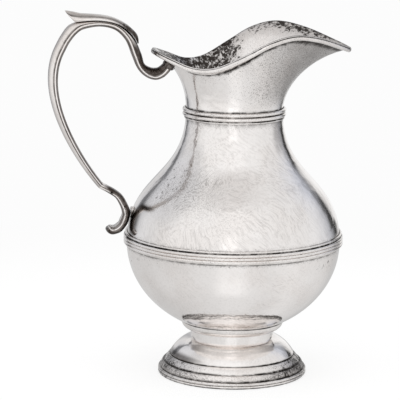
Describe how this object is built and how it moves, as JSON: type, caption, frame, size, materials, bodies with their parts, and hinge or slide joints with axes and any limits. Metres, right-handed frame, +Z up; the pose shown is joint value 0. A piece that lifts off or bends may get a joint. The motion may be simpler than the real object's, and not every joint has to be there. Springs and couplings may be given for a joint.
{
  "type": "ewer",
  "caption": "Footed silver water ewer with a round reeded body, narrow neck, helmet lip with a pointed spout, and a tall scroll handle with a thumb leaf.",
  "frame": {"origin": "on the body's axis, in the plane of the base ring's flat underside", "axes": "+Z up along the body's axis, +X towards the spout, the handle along -X, +Y across"},
  "size_m": [0.2142, 0.1564, 0.2607],
  "materials": {
    "raised_silver": "polished sheet silver with soft hammer marks and fine scratches",
    "moulding_silver": "polished silver wire with dark tarnish in the grooves",
    "cast_silver": "polished cast silver with black patina in the hollows"
  },
  "bodies": {
    "root": {"bowl": "raised_silver", "shoulder": "raised_silver", "belly_band": "moulding_silver", "mouth": "raised_silver", "neck_ring": "moulding_silver", "rim_wire": "moulding_silver", "rim_fillet": "moulding_silver", "foot_collar": "moulding_silver", "foot_stem": "raised_silver", "foot_dome": "raised_silver", "foot_band": "moulding_silver", "foot_border": "moulding_silver", "foot_rim": "moulding_silver", "upper_lug": "cast_silver", "handle_arch": "cast_silver", "thumb_leaf": "cast_silver", "handle_grip": "cast_silver", "handle_tail": "cast_silver", "lower_lug": "cast_silver"}
  },
  "joints": []
}
